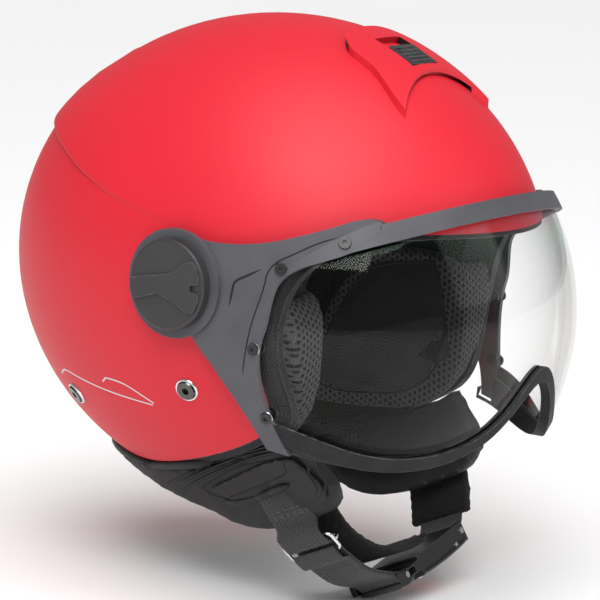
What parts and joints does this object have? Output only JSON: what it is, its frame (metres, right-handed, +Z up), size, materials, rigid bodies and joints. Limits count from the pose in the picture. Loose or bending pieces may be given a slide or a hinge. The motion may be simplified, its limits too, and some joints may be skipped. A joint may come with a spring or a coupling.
{
  "type": "motorcycle helmet",
  "caption": "Open-face scooter helmet with a lifting clear visor, crown vent, padded liner, neck skirt and ratchet-buckle chin strap.",
  "frame": {"origin": "middle of the head cavity", "axes": "+Z up, the face looks along -Y, the wearer's right side is -X"},
  "size_m": [0.2508, 0.3025, 0.2901],
  "materials": {
    "shell_paint": "satin matte",
    "dark_plastic": "fine satin grain",
    "cap_plastic": "satin",
    "clear_lens": "polished",
    "trim_rubber": "matte",
    "foam": "beaded",
    "liner_fabric": "knit",
    "mesh_fabric": "honeycomb mesh",
    "leatherette": "smooth",
    "webbing": "ribbed weave",
    "chrome_metal": "polished",
    "steel": "zinc plated",
    "black_steel": "satin",
    "buckle_plastic": "satin",
    "red_plastic": "gloss"
  },
  "bodies": {
    "helmet": {"outer_shell": "shell_paint", "shell_edge_trim": "trim_rubber", "strap_anchor_plates": "steel", "foam_liner": "foam", "crown_liner": "liner_fabric", "brow_band": "mesh_fabric", "nape_pad": "liner_fabric", "cheek_pad_right": "mesh_fabric", "cheek_pad_left": "mesh_fabric", "neck_skirt": "leatherette", "skirt_panel_right": "leatherette", "skirt_panel_left": "leatherette", "strap_webbing_right": "webbing", "strap_webbing_left": "webbing", "strap_cover": "liner_fabric", "chin_pad": "liner_fabric", "tongue_bar": "chrome_metal", "buckle_body": "buckle_plastic", "body_bar": "chrome_metal", "buckle_plate": "black_steel", "plate_rivets": "chrome_metal", "lever_pin": "chrome_metal", "lever_spring": "steel", "shell_rivets": "chrome_metal", "vent_cowl": "shell_paint", "pivot_nuts": "steel", "pivot_base_right": "cap_plastic", "pivot_base_left": "cap_plastic", "friction_washer_right": "steel", "friction_washer_left": "steel", "pivot_screw_right": "steel", "pivot_screw_left": "steel"},
    "visor": {"visor_lens": "clear_lens", "visor_rail": "dark_plastic", "visor_trim": "trim_rubber", "visor_arm_right": "dark_plastic", "visor_arm_left": "dark_plastic", "visor_screws": "black_steel", "visor_nuts": "black_steel"},
    "vent_slider": {"vent_slider": "cap_plastic"},
    "cap_right": {"pivot_cap_right": "cap_plastic"},
    "cap_left": {"pivot_cap_left": "cap_plastic"},
    "release_lever": {"release_lever": "red_plastic"},
    "buckle_tongue": {"buckle_tongue": "buckle_plastic"},
    "strap_slide": {"strap_slide": "chrome_metal"}
  },
  "joints": [
    {"name": "visor_lift", "type": "hinge", "parent": "helmet", "child": "visor", "pos_m": [0, -0.02, 0.005], "axis": [-1, 0, 0], "range_deg": [0, 48]},
    {"name": "vent_slide", "type": "slide", "parent": "helmet", "child": "vent_slider", "axis": [0, 0.8893, 0.4573], "range_m": [0, 0.008]},
    {"name": "cap_right_turn", "type": "hinge", "parent": "helmet", "child": "cap_right", "pos_m": [0, -0.02, 0.005], "axis": [-1, 0, 0], "range_deg": [0, 40]},
    {"name": "cap_left_turn", "type": "hinge", "parent": "helmet", "child": "cap_left", "pos_m": [0, -0.02, 0.005], "axis": [-1, 0, 0], "range_deg": [0, 40]},
    {"name": "lever_lift", "type": "hinge", "parent": "helmet", "child": "release_lever", "pos_m": [0.04329, -0.07278, -0.14668], "axis": [0, -0.9135, 0.4067], "range_deg": [0, 30], "stiffness_Nm_per_rad": 0.02, "springref_deg": -17.19},
    {"name": "tongue_ratchet", "type": "slide", "parent": "helmet", "child": "buckle_tongue", "axis": [-0.9781, -0.0846, -0.1899], "range_m": [0, 0.0066]},
    {"name": "strap_slide_travel", "type": "slide", "parent": "helmet", "child": "strap_slide", "axis": [0.6, -0.3254, -0.7308], "range_m": [-0.003, 0.003]}
  ]
}
